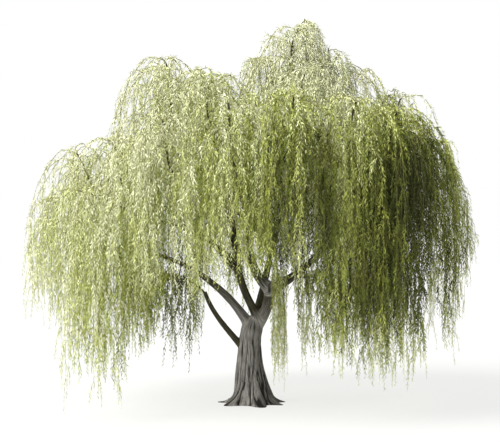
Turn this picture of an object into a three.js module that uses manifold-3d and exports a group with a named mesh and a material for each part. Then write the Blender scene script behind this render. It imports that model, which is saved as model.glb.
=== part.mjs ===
// A weeping willow: a short flared trunk that forks low, arching boughs, and a crown of
// weeping masses, each a dome of whips that arch over and hang almost to the ground.
// Millimetres, +Z up, +X to the right, -Y to the front. The origin is the centre of the
// trunk's flat cut at ground level. Angles are in degrees, anticlockwise from +X.
import * as THREE from "three";
import { mergeVertices } from "three/addons/utils/BufferGeometryUtils.js";
import Module from "manifold-3d";

const wasm = await Module();
wasm.setup();

// Driving sizes
const crownHalfWidth = 7000;
const crownHalfDepth = 6300;
const trunkHeight = 2650;
const trunkRadius = 300;
const clearGap = 0.4; // between neighbouring solids
const spaceMargin = 14; // from a mass's twigs and sprays to the edge of its own space
const limbClearance = 35; // from a mass's twigs and sprays to any limb

// Boughs that others grow from: where each leaves its parent, as a share of the parent's
// length, its bearing and slope there, its tip, its bearing and slope at the tip, and its
// radius at both ends.
const carriers = [
  { name: "bough_low_left", parent: "trunk", at: 0.55, heading: [184, 55],
    tip: [-1476, -350, 3548], arrival: [186, 72], radii: [112, 64] },
  { name: "bough_left_arch", parent: "trunk", at: 0.88, heading: [180, 60],
    tip: [-3956, -250, 4930], arrival: [184, 8], radii: [148, 36] },
  { name: "bough_leader", parent: "trunk", at: 0.84, heading: [358, 47],
    tip: [543, 0, 3700], arrival: [180, 86], radii: [190, 160] },
  { name: "bough_centre_left", parent: "bough_leader", at: 0.28, heading: [185, 60],
    tip: [-440, -150, 4900], arrival: [20, 84], radii: [142, 92] },
  { name: "bough_back", parent: "trunk", at: 0.9, heading: [66, 50],
    tip: [750, 2200, 5200], arrival: [80, 35], radii: [130, 84] },
  { name: "bough_centre", parent: "bough_leader", at: 0.96, heading: [172, 36],
    tip: [-60, 150, 5600], arrival: [60, 80], radii: [156, 100] },
  { name: "bough_right", parent: "bough_leader", at: 0.9, heading: [358, 28],
    tip: [2600, -100, 5150], arrival: [356, 42], radii: [146, 84] },
];

// Masses of foliage: the bough that each one's own bough leaves and where, the bearing and
// distance of its middle from the trunk, and its highest and lowest points. Some say how
// much they fall at a metre from the crest or how far they spread.
const upperMasses = [
  { name: "top", from: "bough_centre", at: 0.97, angle: 4, reach: 1200, top: 12150, hang: 6300, fall: 800,
    crestShare: 1.2, whips: 5 },
  { name: "upper_left", from: "bough_centre_left", at: 0.97, angle: 180, reach: 3000, top: 11200, fall: 800,
    crestShare: 0.917, whips: 5 },
  { name: "upper_right", from: "bough_right", at: 0.96, angle: 3, reach: 2900, top: 11300,
    crestShare: 0.914, whips: 5 },
  { name: "upper_front_left", from: "bough_centre_left", at: 0.88, angle: 240, top: 10650 },
  { name: "upper_front_right", from: "bough_centre", at: 0.84, angle: 302, top: 10750 },
  { name: "upper_back_left", from: "bough_centre", at: 0.9, angle: 122, top: 10750 },
  { name: "upper_back_right", from: "bough_back", at: 0.97, angle: 62, top: 10850 },
];

const ringMasses = [
  { name: "left", from: "bough_centre_left", at: 0.8, angle: 180, reach: 5500, hang: 2500, fall: 750,
    crestShare: 1 },
  { name: "front_left", from: "bough_centre_left", at: 0.72, angle: 212, hang: 350 },
  { name: "front_left_mid", from: "bough_centre_left", at: 0.93, angle: 238, hang: 3300 },
  { name: "front", from: "bough_centre", at: 0.72, angle: 262, hang: 4200 },
  { name: "front_right_mid", from: "bough_centre", at: 0.64, angle: 284, hang: 3800 },
  { name: "front_right", from: "bough_right", at: 0.72, angle: 308, hang: 700 },
  { name: "right_front", from: "bough_right", at: 0.84, angle: 332, hang: 600 },
  { name: "right", from: "bough_right", at: 0.92, angle: 1, hang: 1750, top: 10100,
    fall: 700, crestShare: 0.88 },
  { name: "right_back", from: "bough_right", at: 0.78, angle: 32, hang: 1300 },
  { name: "back_right", from: "bough_back", at: 0.84, angle: 62, hang: 1500 },
  { name: "back", from: "bough_back", at: 0.9, angle: 92, hang: 2300 },
  { name: "back_left", from: "bough_back", at: 0.76, angle: 122, hang: 1300 },
  { name: "left_back", from: "bough_centre_left", at: 0.64, angle: 151, hang: 1300 },
];

const lowMasses = [
  { name: "low_left", from: "bough_low_left", at: 0.96, angle: 195, reach: 2650, top: 4400, hang: 1450 },
  { name: "left_arch", from: null, angle: 184, reach: 4500, top: 5350, hang: 800 },
  { name: "front_strand", from: "bough_leader", at: 0.8, angle: 302, reach: 1500, top: 4350, hang: 750,
    fall: 2000, spread: 300, whips: 3 },
  { name: "low_right", from: "bough_right", at: 0.5, angle: 30, reach: 2300, top: 4350, hang: 1000 },
];

// What the masses of a tier share, unless one says otherwise. A mass of the ring has its
// stem's top nearer the trunk than its middle, and the ring stands higher on the right.
const upperTier = { reach: 3000, hang: 4800, whips: 4, entryBelow: 1950, arrivalSlope: 50, boughRadius: 68 };
const ringTier = { reach: 5300, crestShare: 0.93, entryBelow: 1950, arrivalSlope: 24, boughRadius: 68 };
const lowTier = { fall: 750, spread: 1150, whips: 4, entryBelow: 450, arrivalSlope: 10, boughRadius: 42 };
const anyTier = { fall: 600, spread: 4000, whips: 5, crestShare: 1 };
const ringTop = 8850;
const ringLift = 550;
const ringFullness = 1050; // how much higher it stands in front and behind

const radians = THREE.MathUtils.degToRad;

const masses = [
  ...upperMasses.map((mass) => ({ ...anyTier, ...upperTier, ...mass })),
  ...ringMasses.map((mass) => {
    const turn = radians(mass.angle);
    const top = ringTop + ringLift * Math.cos(turn) + ringFullness * Math.sin(turn) ** 2;
    return { ...anyTier, ...ringTier, top, ...mass };
  }),
  ...lowMasses.map((mass) => ({ ...anyTier, ...lowTier, ...mass })),
];

function polar(angle, reach, height) {
  return new THREE.Vector3(Math.cos(radians(angle)) * reach, Math.sin(radians(angle)) * reach, height);
}

function direction([angle, slope]) {
  return polar(angle, Math.cos(radians(slope)), Math.sin(radians(slope)));
}

// A repeatable number from 0 to 1 for any three whole numbers.
function chance(a, b, c) {
  const wave = Math.sin(a * 12.9898 + b * 78.233 + c * 37.719 + 4.1) * 43758.5453;
  return wave - Math.floor(wave);
}

// The same curve, read only where the rings of a tube lie on it.
class Ringed extends THREE.Curve {
  constructor(curve, shares) {
    super();
    this.curve = curve;
    this.shares = shares;
  }
  shareAt(t) {
    return this.shares[Math.round(t * (this.shares.length - 1))];
  }
  getPointAt(t) {
    return this.curve.getPointAt(this.shareAt(t));
  }
  getTangentAt(t) {
    return this.curve.getTangentAt(this.shareAt(t));
  }
}

function evenShares(steps) {
  return Array.from({ length: steps + 1 }, (_, i) => i / steps);
}

// The straight stretches from ring to ring that a tube's middle follows.
function chordsOf(curve, shares) {
  const path = new THREE.CurvePath();
  const places = shares.map((share) => curve.getPointAt(share));
  places.slice(1).forEach((place, i) => path.add(new THREE.LineCurve3(places[i], place)));
  return path;
}

// A closed tube along a curve, with rings at some shares of its length. Its half width and
// half depth depend on how far along it is and on the angle round it. A grown tube is
// larger all round by the same amount.
function tube(curve, sides, shares, sizeAt, grown = 0) {
  const steps = shares.length - 1;
  const geometry = new THREE.CylinderGeometry(1, 1, 1, sides, steps);
  const rings = new Ringed(curve, shares);
  const centres = rings.getSpacedPoints(steps);
  const frames = rings.computeFrenetFrames(steps, false);
  const places = geometry.getAttribute("position");
  for (let i = 0; i < places.count; i++) {
    const step = Math.round((places.getY(i) + 0.5) * steps);
    const [x, z] = [places.getX(i), places.getZ(i)];
    const [wide, deep] = sizeAt(shares[step], Math.atan2(z, x));
    const end = step === 0 ? -grown : step === steps ? grown : 0;
    const place = centres[step]
      .clone()
      .addScaledVector(frames.tangents[step], end)
      .addScaledVector(frames.normals[step], x * (wide + grown))
      .addScaledVector(frames.binormals[step], -z * (deep + grown));
    places.setXYZ(i, place.x, place.y, place.z);
  }
  return geometry;
}

function round(radiusAt) {
  return (share, angle) => [radiusAt(share, angle), radiusAt(share, angle)];
}

function solidOf(geometry) {
  const bare = new THREE.BufferGeometry();
  bare.setAttribute("position", geometry.getAttribute("position"));
  bare.setIndex(geometry.getIndex());
  const merged = mergeVertices(bare, 1e-3);
  return new wasm.Manifold(
    new wasm.Mesh({
      numProp: 3,
      vertProperties: merged.getAttribute("position").array,
      triVerts: new Uint32Array(merged.getIndex().array),
    }),
  );
}

// The largest body of a solid, without loose scraps or a sealed hollow inside it.
function mainBody(solid) {
  return solid.decompose().reduce((best, body) => (body.volume() > best.volume() ? body : best));
}

function meshOf(solid, name, place, colour, roughness) {
  const made = solid.getMesh();
  const geometry = new THREE.BufferGeometry();
  geometry.setAttribute("position", new THREE.BufferAttribute(made.vertProperties, 3));
  geometry.setIndex(new THREE.BufferAttribute(made.triVerts, 1));
  geometry.translate(-place.x, -place.y, -place.z);
  const material = new THREE.MeshStandardMaterial({ color: colour, roughness, metalness: 0 });
  const mesh = new THREE.Mesh(geometry, material);
  mesh.name = name;
  mesh.position.copy(place);
  return mesh;
}

// The trunk bows a little to the left, and its foot spreads in uneven root buttresses.
const trunkBow = 60;
const trunkCurve = new THREE.CatmullRomCurve3([
  new THREE.Vector3(0, 0, 0),
  new THREE.Vector3(0, 0, trunkHeight * 0.1),
  new THREE.Vector3(-trunkBow, 0, trunkHeight * 0.4),
  new THREE.Vector3(-trunkBow, 0, trunkHeight * 0.75),
  new THREE.Vector3(60, 0, trunkHeight),
]);
const flare = 310;
const flareHeight = 1200;
const buttresses = 7;
const toeReach = [160, 520]; // between and at the buttresses
const toePoint = 1.5; // how pointed the toes are in plan
const toeHeight = 130;
const ribDepth = 55;
const ribHeight = 750;
const forkSwell = 50;
const topRounding = 200;

function trunkRadiusAt(along, angle) {
  const height = along * trunkHeight;
  const buttress = 0.5 + 0.5 * Math.sin(buttresses * angle + 1.2 * Math.sin(2 * angle));
  const spread = flare * Math.exp(-((height / flareHeight) ** 1.5));
  const toes = THREE.MathUtils.lerp(...toeReach, buttress ** toePoint) * Math.exp(-height / toeHeight);
  const ribs = ribDepth * (buttress - 0.5) * Math.exp(-height / ribHeight);
  const fork = forkSwell * THREE.MathUtils.smoothstep(along, 0.8, 0.95);
  const top = topRounding * THREE.MathUtils.smoothstep(along, 0.86, 1);
  return trunkRadius + spread + toes + ribs + fork - top;
}

const trunkSides = 20;
const trunkRings = [0, 0.02, 0.05, 0.1, 0.17, 0.27, 0.4, 0.55, 0.7, 0.86, 0.94, 1];

function trunkSolid(grown) {
  return solidOf(tube(trunkCurve, trunkSides, trunkRings, round(trunkRadiusAt), grown));
}

// A limb leaves along one direction and arrives along another. It tapers, and swells at
// its root.
const limbBend = 0.36;
const taperPower = 0.85;
const swellLength = 0.12;
const carrierForm = { swell: 0.55, sides: 8, steps: 7 };
const massBoughForm = { swell: 0.1, sides: 5, steps: 4 };
const limbs = new Map();
limbs.set("trunk", {
  curve: trunkCurve,
  chords: trunkCurve,
  radiusAt: (share) => trunkRadiusAt(share, 0),
  solid: trunkSolid,
});

function limbCurve(root, heading, tip, arrival) {
  const bend = limbBend * root.distanceTo(tip);
  return new THREE.CubicBezierCurve3(
    root,
    root.clone().addScaledVector(heading, bend),
    tip.clone().addScaledVector(arrival, -bend),
    tip,
  );
}

function addLimb(name, curve, [thick, thin], { swell, sides, steps }) {
  const shares = evenShares(steps);
  const radiusAt = (share) =>
    (thick + (thin - thick) * share ** taperPower) * (1 + swell * Math.exp(-share / swellLength));
  const solid = (grown) => solidOf(tube(curve, sides, shares, round(radiusAt), grown));
  limbs.set(name, { curve, chords: chordsOf(curve, shares), radiusAt, solid });
}

for (const { name, parent, at, heading, tip, arrival, radii } of carriers) {
  const root = limbs.get(parent).curve.getPointAt(at);
  const curve = limbCurve(root, direction(heading), new THREE.Vector3(...tip), direction(arrival));
  addLimb(name, curve, radii, carrierForm);
}

// Each mass has its own bough, from its carrier to the near side of the mass's space.
const entryShare = 0.82; // of the way from the trunk to the mass's middle
const boughTaper = 0.45;
const boughOfCarrier = 0.85; // its radius, as a share of the carrier's where it leaves
const carrierPull = 0.55; // how much it leaves along its carrier rather than towards its tip

function addMassBough(mass) {
  const carrier = limbs.get(mass.from);
  const root = carrier.curve.getPointAt(mass.at);
  const tip = polar(mass.angle, mass.reach * entryShare, mass.top - mass.entryBelow);
  const towards = tip.clone().sub(root).normalize();
  const heading = carrier.curve.getTangentAt(mass.at).multiplyScalar(carrierPull).add(towards).normalize();
  const thick = Math.min(mass.boughRadius, carrier.radiusAt(mass.at) * boughOfCarrier);
  const curve = limbCurve(root, heading, tip, direction([mass.angle, mass.arrivalSlope]));
  addLimb("bough_to_" + mass.name, curve, [thick, thick * boughTaper], massBoughForm);
}

for (const mass of masses) {
  mass.seed = polar(mass.angle, mass.reach, 0);
  mass.crest = polar(mass.angle, mass.reach * mass.crestShare, mass.top);
  mass.taken = [];
  if (mass.from) addMassBough(mass);
  mass.bough = limbs.get(mass.from ? "bough_to_" + mass.name : "bough_" + mass.name);
}

// A mass's space is what lies nearer in plan to its middle than to any other's, among the
// masses that reach that height, inside the crown's outline.
function owns(mass, point, margin) {
  const level = point.z;
  if (level > mass.top || level < mass.hang) return false;
  if (Math.hypot(point.x / crownHalfWidth, point.y / crownHalfDepth) > 1) return false;
  const own = Math.hypot(point.x - mass.seed.x, point.y - mass.seed.y);
  return masses.every((other) => {
    if (other === mass || level > other.top + margin || level < other.hang - margin) return true;
    const far = Math.hypot(point.x - other.seed.x, point.y - other.seed.y);
    return (far * far - own * own) / (2 * mass.seed.distanceTo(other.seed)) > margin;
  });
}

const limbSpots = [...limbs.values()].flatMap(({ chords, radiusAt }) =>
  evenShares(80).map((share) => ({ place: chords.getPoint(share), girth: radiusAt(share) })),
);

// Twigs and sprays keep clear of limbs. Those of one mass may touch, but none lies along
// another.
const crowding = 0.6; // nearest middles of two of them, as a share of their half widths

function isFree(mass, { place, girth }) {
  if (!owns(mass, place, spaceMargin + girth)) return false;
  const apart = (spot) => spot.place.distanceTo(place) > spot.girth + girth + limbClearance;
  const uncrowded = (spot) => spot.place.distanceTo(place) > crowding * (spot.girth + girth);
  return limbSpots.every(apart) && mass.taken.every(uncrowded);
}

// How far the mass's space reaches from its crest in one direction, at its shoulders.
const shoulderLevel = 7500;
const shoulderBelow = 1000;
const edgeStep = 50;

function edgeDistance(mass, angle) {
  const point = mass.crest.clone().setZ(Math.min(mass.top - shoulderBelow, shoulderLevel));
  let out = 0;
  while (out < mass.spread && owns(mass, point, spaceMargin + twigRadius)) {
    point.add(polar(angle, edgeStep, 0));
    out += edgeStep;
  }
  return out;
}

// A spray is a three-sided blade that stands for a bunch of narrow hanging leaves.
const sprayLength = 2000;
const sprayWidth = 360;
const sprayThickness = 40;
const sprayWidest = 0.42;

function spraySolid(base, along, facing, length) {
  const geometry = new THREE.SphereGeometry(1, 3, 2);
  const side = new THREE.Vector3().crossVectors(facing, along).normalize();
  const face = new THREE.Vector3().crossVectors(along, side);
  const places = geometry.getAttribute("position");
  for (let i = 0; i < places.count; i++) {
    const [x, y, z] = [places.getX(i), places.getY(i), places.getZ(i)];
    const reach = y > 0.5 ? 1 : y < -0.5 ? 0 : sprayWidest;
    const place = base
      .clone()
      .addScaledVector(along, reach * length)
      .addScaledVector(side, (z * sprayWidth) / Math.sqrt(3))
      .addScaledVector(face, (x * sprayThickness) / 1.5);
    places.setXYZ(i, place.x, place.y, place.z);
  }
  return solidOf(geometry);
}

function spraySpots(base, along, length) {
  return evenShares(20).map((share) => {
    const taper = share > sprayWidest ? (1 - share) / (1 - sprayWidest) : share / sprayWidest;
    return { place: base.clone().addScaledVector(along, share * length), girth: (sprayWidth / 2) * taper };
  });
}

// The top of a mass is a dome. A whip leaves the stem, arches over the dome, hangs at its
// own place in plan and ends in a spray. Its place is a turn and a share of the way from
// the crest to the edge of the mass's space; every third whip hangs nearer the crest.
const fallPower = 1.6;
const domeBelow = 70; // from the top of the space to the dome
const peakAt = 0.33; // share of the way out where a whip is highest
const leastRise = 120;
const lateWhipDrop = 450; // how much lower the later whips of a mass may arch
const shoulderAt = 0.85;
const shoulderFullness = 260;
const straightens = 0.2; // share of the hanging length where a whip turns plumb
const goldenAngle = 137.508;
const turnPlay = 40;
const outerShare = 0.9;
const innerShare = 0.5;
const sharePlay = [0.07, 0.2]; // for the outer and the inner whips
const hangPlay = 0.15;
const twigRadius = 24;
const twigTipRadius = 10;
const shortestHang = 1300;
const hangStep = 60;
const skirtTurn = 5300; // the crown's skirt rises beyond this, to its left and right
const skirtRise = 1.9;

function twigRadiusAt(share) {
  return THREE.MathUtils.lerp(twigRadius, twigTipRadius, share);
}

function whipPath(mass, massIndex, i, start, isFirst) {
  const play = (c) => chance(massIndex, i, c);
  const angle = mass.angle + i * goldenAngle + turnPlay * (play(1) - 0.5);
  const isInner = i % 3 === 1;
  const spread = isInner ? innerShare + sharePlay[1] * play(2) : outerShare + sharePlay[0] * play(2);
  const out = edgeDistance(mass, angle) * spread;
  const foot = mass.crest.clone().add(polar(angle, out, 0));
  const domeAt = (distance) => mass.top - domeBelow - mass.fall * (distance / 1000) ** fallPower;
  const shoulder = domeAt(out);
  const peak = domeAt(peakAt * out) - (isFirst ? 0 : lateWhipDrop * play(4));
  const skirt = (Math.abs(foot.x) - skirtTurn) * skirtRise;
  const lowest = Math.max(mass.hang, skirt) + (mass.top - mass.hang) * hangPlay * play(3);
  let level = shoulder;
  const below = () => ({ place: foot.clone().setZ(level - hangStep), girth: sprayWidth / 4 });
  while (level > lowest && isFree(mass, below())) level -= hangStep;
  if (shoulder - level < shortestHang) return null;
  const over = (along, height) => start.clone().lerp(foot, along).setZ(height);
  const places = [
    start,
    over(peakAt, Math.max(peak, start.z + leastRise)),
    over(shoulderAt, shoulder + shoulderFullness * spread),
    over(1, THREE.MathUtils.lerp(shoulder, level, straightens)),
    over(1, level),
  ];
  return new THREE.CatmullRomCurve3(places, false, "centripetal");
}

// The whip's rings lie closer together where it arches, and its last stretch is a spray.
const archRings = [0, 0.1, 0.25, 0.48, 1];
const twigSpots = 100;
const spotsInStem = 6;

function growWhip(mass, path) {
  const tipShare = sprayLength / path.getLength();
  const neck = 1 - tipShare;
  const shares = [...archRings.map((share) => share * neck), 1 - tipShare * (1 - sprayWidest), 1];
  const chords = chordsOf(path, shares);
  const twig = evenShares(twigSpots).map((share) => {
    return { place: chords.getPoint(share * neck), girth: twigRadius };
  });
  const tip = spraySpots(chords.getPoint(neck), direction([0, -90]), sprayLength);
  const fits = [...twig.slice(spotsInStem), ...tip].every((spot) => isFree(mass, spot));
  if (!fits) return null;
  mass.taken.push(...twig, ...tip);
  return { path, shares, chords };
}

function whipSolid({ path, shares }) {
  const widest = shares[shares.length - 2];
  const blade = [sprayWidth / Math.sqrt(3), sprayThickness / 1.5];
  const twig = round(twigRadiusAt);
  return solidOf(tube(path, 3, shares, (share) => (share === widest ? blade : twig(share))));
}

// The sprays of one whip droop to alternate sides of it, or where there is room, and face
// the way they lean. Each has its root sunk in the whip.
const spraySpacing = 2550;
const firstSpray = 500;
const leans = [1.3, -1.3, 2.6, -2.6]; // radians from straight outwards
const leanPlay = 0.6;
const droop = new THREE.Vector3(0, 0, -0.75);
const leanShare = 0.3;
const followShare = 0.3; // how much a spray goes on along its whip
const sunkShare = 0.35;
const leastCrossing = 0.2;
const spotsInTwig = 3;

function spraysOf(mass, massIndex, { i, chords }) {
  const whole = chords.getLength();
  const play = (c) => chance(massIndex, i, c);
  const made = [];
  for (let n = 0; firstSpray + n * spraySpacing < whole - 1.1 * sprayLength; n++) {
    const share = (firstSpray + (n + 0.25 * play(n + 10)) * spraySpacing) / whole;
    const length = sprayLength * (0.85 + 0.3 * play(n + 40));
    const node = chords.getPoint(share);
    const tangent = chords.getTangent(share);
    const bearing = Math.atan2(node.y - mass.crest.y, node.x - mass.crest.x);
    for (const lean of leans) {
      const turn = bearing + (n % 2 ? lean : -lean) + leanPlay * (play(n + 70) - 0.5);
      const facing = new THREE.Vector3(Math.cos(turn), Math.sin(turn), 0);
      const along = droop.clone().addScaledVector(facing, leanShare);
      along.addScaledVector(tangent, followShare).normalize();
      const crossing = Math.max(leastCrossing, Math.sin(tangent.angleTo(along)));
      const base = node.clone().addScaledVector(along, (-sunkShare * twigRadiusAt(share)) / crossing);
      const spots = spraySpots(base, along, length);
      if (!spots.slice(spotsInTwig).every((spot) => isFree(mass, spot))) continue;
      mass.taken.push(...spots);
      made.push(spraySolid(base, along, facing, length));
      break;
    }
  }
  return made;
}

const stemSteps = 4;
const stemTopBelow = 420; // the mass's top
const stemSlope = 55;
const stemOfBough = 0.85;
const stemTaper = 0.3;
const whipTries = 30;

function foliageSolid(mass, massIndex) {
  const arrival = mass.bough.curve.getTangentAt(1);
  const root = mass.bough.curve.getPointAt(1).addScaledVector(arrival, clearGap);
  const stemTop = mass.crest.clone().setZ(mass.top - stemTopBelow);
  const stem = limbCurve(root, arrival, stemTop, direction([mass.angle, stemSlope]));
  const stemRadius = mass.bough.radiusAt(1) * stemOfBough;
  const stemSize = round((share) => stemRadius * (1 - stemTaper * share));
  const starts = stem.getSpacedPoints(stemSteps);
  const whips = [];
  for (let i = 0; i < whipTries && whips.length < mass.whips; i++) {
    const start = starts[stemSteps - ((whips.length * 2) % stemSteps)];
    const path = whipPath(mass, massIndex, i, start, whips.length === 0);
    const whip = path && growWhip(mass, path);
    if (whip) whips.push({ i, ...whip });
  }
  const solids = [solidOf(tube(stem, 3, evenShares(stemSteps), stemSize))];
  solids.push(...whips.map(whipSolid));
  solids.push(...whips.flatMap((whip) => spraysOf(mass, massIndex, whip)));
  return mainBody(wasm.Manifold.union(solids));
}

const barkColour = 0x6b6358;
const boughColour = 0x4a4834;
const foliageColour = 0xa3b05c;

const tree = new THREE.Group();
const wood = new THREE.Group();
const foliage = new THREE.Group();
tree.add(wood, foliage);

// Each limb is cut back to lie just clear of the trunk and of the limbs before it.
const earlier = [];
for (const [name, { curve, solid }] of limbs) {
  const whole = solid(0);
  const cut = earlier.length ? mainBody(whole.subtract(wasm.Manifold.union(earlier))) : whole;
  const colour = name === "trunk" ? barkColour : boughColour;
  wood.add(meshOf(cut, name, curve.getPointAt(0), colour, 0.9));
  earlier.push(solid(clearGap));
}

masses.forEach((mass, massIndex) => {
  const solid = foliageSolid(mass, massIndex);
  foliage.add(meshOf(solid, "foliage_" + mass.name, mass.seed, foliageColour, 0.6));
});

export default tree;
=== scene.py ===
import math

import bmesh
import bpy
import numpy as np
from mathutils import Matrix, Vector, noise


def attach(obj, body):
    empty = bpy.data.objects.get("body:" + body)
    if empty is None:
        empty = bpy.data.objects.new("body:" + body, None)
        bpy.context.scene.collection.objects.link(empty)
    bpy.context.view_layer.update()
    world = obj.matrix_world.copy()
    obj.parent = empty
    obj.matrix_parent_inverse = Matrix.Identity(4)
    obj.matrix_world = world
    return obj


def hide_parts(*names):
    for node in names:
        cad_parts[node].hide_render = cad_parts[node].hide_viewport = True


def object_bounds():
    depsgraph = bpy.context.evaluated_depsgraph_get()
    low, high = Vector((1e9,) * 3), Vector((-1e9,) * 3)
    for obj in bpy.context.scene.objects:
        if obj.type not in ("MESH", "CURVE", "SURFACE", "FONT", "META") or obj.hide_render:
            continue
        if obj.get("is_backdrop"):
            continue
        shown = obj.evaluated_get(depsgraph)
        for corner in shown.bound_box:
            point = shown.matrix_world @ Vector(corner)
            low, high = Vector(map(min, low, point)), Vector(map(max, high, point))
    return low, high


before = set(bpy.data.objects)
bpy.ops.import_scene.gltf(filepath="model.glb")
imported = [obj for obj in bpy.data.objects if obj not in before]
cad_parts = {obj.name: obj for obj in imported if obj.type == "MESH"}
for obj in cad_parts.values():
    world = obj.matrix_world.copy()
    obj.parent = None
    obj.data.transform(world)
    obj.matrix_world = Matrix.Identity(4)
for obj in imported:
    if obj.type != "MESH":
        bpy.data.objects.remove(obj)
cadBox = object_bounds()
print("frame loaded:", len(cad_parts), "nodes")

# Weeping willow, in metres, +Z up, -Y to the front. Angles are in degrees from +X.

crown = {
    "halfWidth": 7.0,
    "halfDepth": 6.3,
    "skirtTurn": 5.1,  # the skirt rises beyond this, to the left and right
    "skirtRise": 1.7,
    "overlap": 0.12,  # how far neighbouring masses may mingle
}

trunkForm = {
    "height": 2.65,
    "radius": 0.3,
    "bow": 0.06,
    "flare": 0.31,
    "flareHeight": 1.2,
    "flarePower": 1.5,
    "buttresses": 7,
    "uneven": 1.2,  # how unevenly the buttresses stand round it
    "toeReach": (0.16, 0.52),  # between and at the buttresses
    "toePoint": 1.5,  # how pointed the toes are in plan
    "toeHeight": 0.13,
    "ribDepth": 0.055,
    "ribHeight": 0.75,
    "forkSwell": 0.05,
    "forkSwellOver": (0.8, 0.95),
    "topRounding": 0.2,
    "topRoundingOver": (0.86, 1),
}

limbForm = {
    "steps": 120,  # along each limb
    "taperPower": 0.85,
    "swell": 0.55,  # at the foot of a main bough
    "massSwell": 0.1,  # and of one that carries a mass
    "swellOver": 0.12,
    "pull": 0.36,  # how far a bend keeps its direction at both ends
    "tipShare": 0.45,  # a mass bough's radius at its tip, of that at its foot
    "stemEase": 0.15,  # how much less it thins along the stem inside the mass
    "stemBelow": 0.42,  # from the top of that stem to the crest
}

# bough: parent, share along it, bearing and slope there, tip, bearing and slope there, radii
carriers = {
    "bough_low_left": ("trunk", 0.55, (184, 55), (-1.476, -0.35, 3.548), (186, 72), (0.112, 0.064)),
    "bough_left_arch": ("trunk", 0.88, (180, 60), (-3.956, -0.25, 4.93), (184, 8), (0.148, 0.036)),
    "bough_leader": ("trunk", 0.84, (358, 47), (0.543, 0, 3.7), (180, 86), (0.19, 0.16)),
    "bough_centre_left": ("bough_leader", 0.28, (185, 60), (-0.44, -0.15, 4.9), (20, 84), (0.142, 0.092)),
    "bough_back": ("trunk", 0.9, (66, 50), (0.75, 2.2, 5.2), (80, 35), (0.13, 0.084)),
    "bough_centre": ("bough_leader", 0.96, (172, 36), (-0.06, 0.15, 5.6), (60, 80), (0.156, 0.1)),
    "bough_right": ("bough_leader", 0.9, (358, 28), (2.6, -0.1, 5.15), (356, 42), (0.146, 0.084)),
}

upperMasses = {
    "top": {"from": ("bough_centre", 0.97), "angle": 4, "reach": 1.2, "top": 12.15, "hang": 5.5, "whips": 5,
            "crestShare": 1.2, "fall": 0.8, "arches": 72, "light": 0.3},
    "upper_left": {"from": ("bough_centre_left", 0.97), "angle": 180, "reach": 3.0, "top": 11.2, "whips": 5,
                   "crestShare": 0.917, "fall": 0.8, "arches": 60},
    "upper_right": {"from": ("bough_right", 0.96), "angle": 3, "reach": 2.9, "top": 11.3, "whips": 5,
                    "crestShare": 0.914, "arches": 56, "light": 0.36},
    "upper_front_left": {"from": ("bough_centre_left", 0.88), "angle": 240, "top": 10.65, "arches": 50},
    "upper_front_right": {"from": ("bough_centre", 0.84), "angle": 302, "top": 10.75, "light": 0.3},
    "upper_back_left": {"from": ("bough_centre", 0.9), "angle": 122, "top": 10.75, "arches": 50},
    "upper_back_right": {"from": ("bough_back", 0.97), "angle": 62, "top": 10.85},
}
ringMasses = {
    "left": {"from": ("bough_centre_left", 0.8), "angle": 180, "reach": 5.5, "hang": 2.5, "crestShare": 1,
             "fall": 0.75, "arches": 78},
    "front_left": {"from": ("bough_centre_left", 0.72), "angle": 212, "hang": 0.35, "arches": 60},
    "front_left_mid": {"from": ("bough_centre_left", 0.93), "angle": 238, "hang": 3.3},
    "front": {"from": ("bough_centre", 0.72), "angle": 262, "hang": 4.2, "light": -0.1},
    "front_right_mid": {"from": ("bough_centre", 0.64), "angle": 284, "hang": 3.8, "light": -0.28},
    "front_right": {"from": ("bough_right", 0.72), "angle": 308, "hang": 1.05, "arches": 56, "light": 0.1},
    "right_front": {"from": ("bough_right", 0.84), "angle": 332, "hang": 0.8, "light": 0.08,
                    "arches": 72},
    "right": {"from": ("bough_right", 0.92), "angle": 1, "hang": 1.75, "top": 10.0, "crestShare": 0.88,
              "fall": 0.95, "light": 0.35, "arches": 74},
    "right_back": {"from": ("bough_right", 0.78), "angle": 32, "hang": 1.3, "light": 0.3, "arches": 62},
    "back_right": {"from": ("bough_back", 0.84), "angle": 62, "hang": 1.5},
    "back": {"from": ("bough_back", 0.9), "angle": 92, "hang": 2.3},
    "back_left": {"from": ("bough_back", 0.76), "angle": 122, "hang": 1.3},
    "left_back": {"from": ("bough_centre_left", 0.64), "angle": 151, "hang": 1.3},
}
lowMasses = {
    "low_left": {"from": ("bough_low_left", 0.96), "angle": 195, "reach": 2.65, "top": 4.4, "hang": 1.45,
                 "arches": 22},
    "left_arch": {"from": None, "angle": 184, "reach": 4.5, "top": 5.35, "hang": 0.8},
    "front_strand": {"from": ("bough_leader", 0.8), "angle": 302, "reach": 1.5, "top": 4.35, "hang": 0.75,
                     "fall": 2, "spread": 0.3, "whips": 3, "light": 0.5},
    "low_right": {"from": ("bough_right", 0.5), "angle": 30, "reach": 2.3, "top": 4.35, "hang": 1.0,
                  "arches": 26, "light": 0.5},
}
anyTier = {"fall": 0.6, "spread": 4.0, "whips": 5, "crestShare": 1, "ragged": 0.24, "light": 0,
           "crowd": 0.86}  # above 1, the sprays gather where a whip arches
upperTier = {"reach": 3.0, "hang": 4.8, "whips": 4, "entryBelow": 1.95, "arrivalSlope": 50,
             "boughRadius": 0.068, "arches": 42, "crowd": 1.4}
ringTier = {"reach": 5.3, "crestShare": 0.93, "entryBelow": 1.95, "arrivalSlope": 24,
            "boughRadius": 0.068, "arches": 50}
lowTier = {"fall": 0.75, "spread": 1.15, "whips": 4, "entryBelow": 0.45, "arrivalSlope": 10,
           "boughRadius": 0.042, "arches": 15}
ringTop, ringLift, ringFullness = 8.85, 0.55, 1.05

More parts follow.
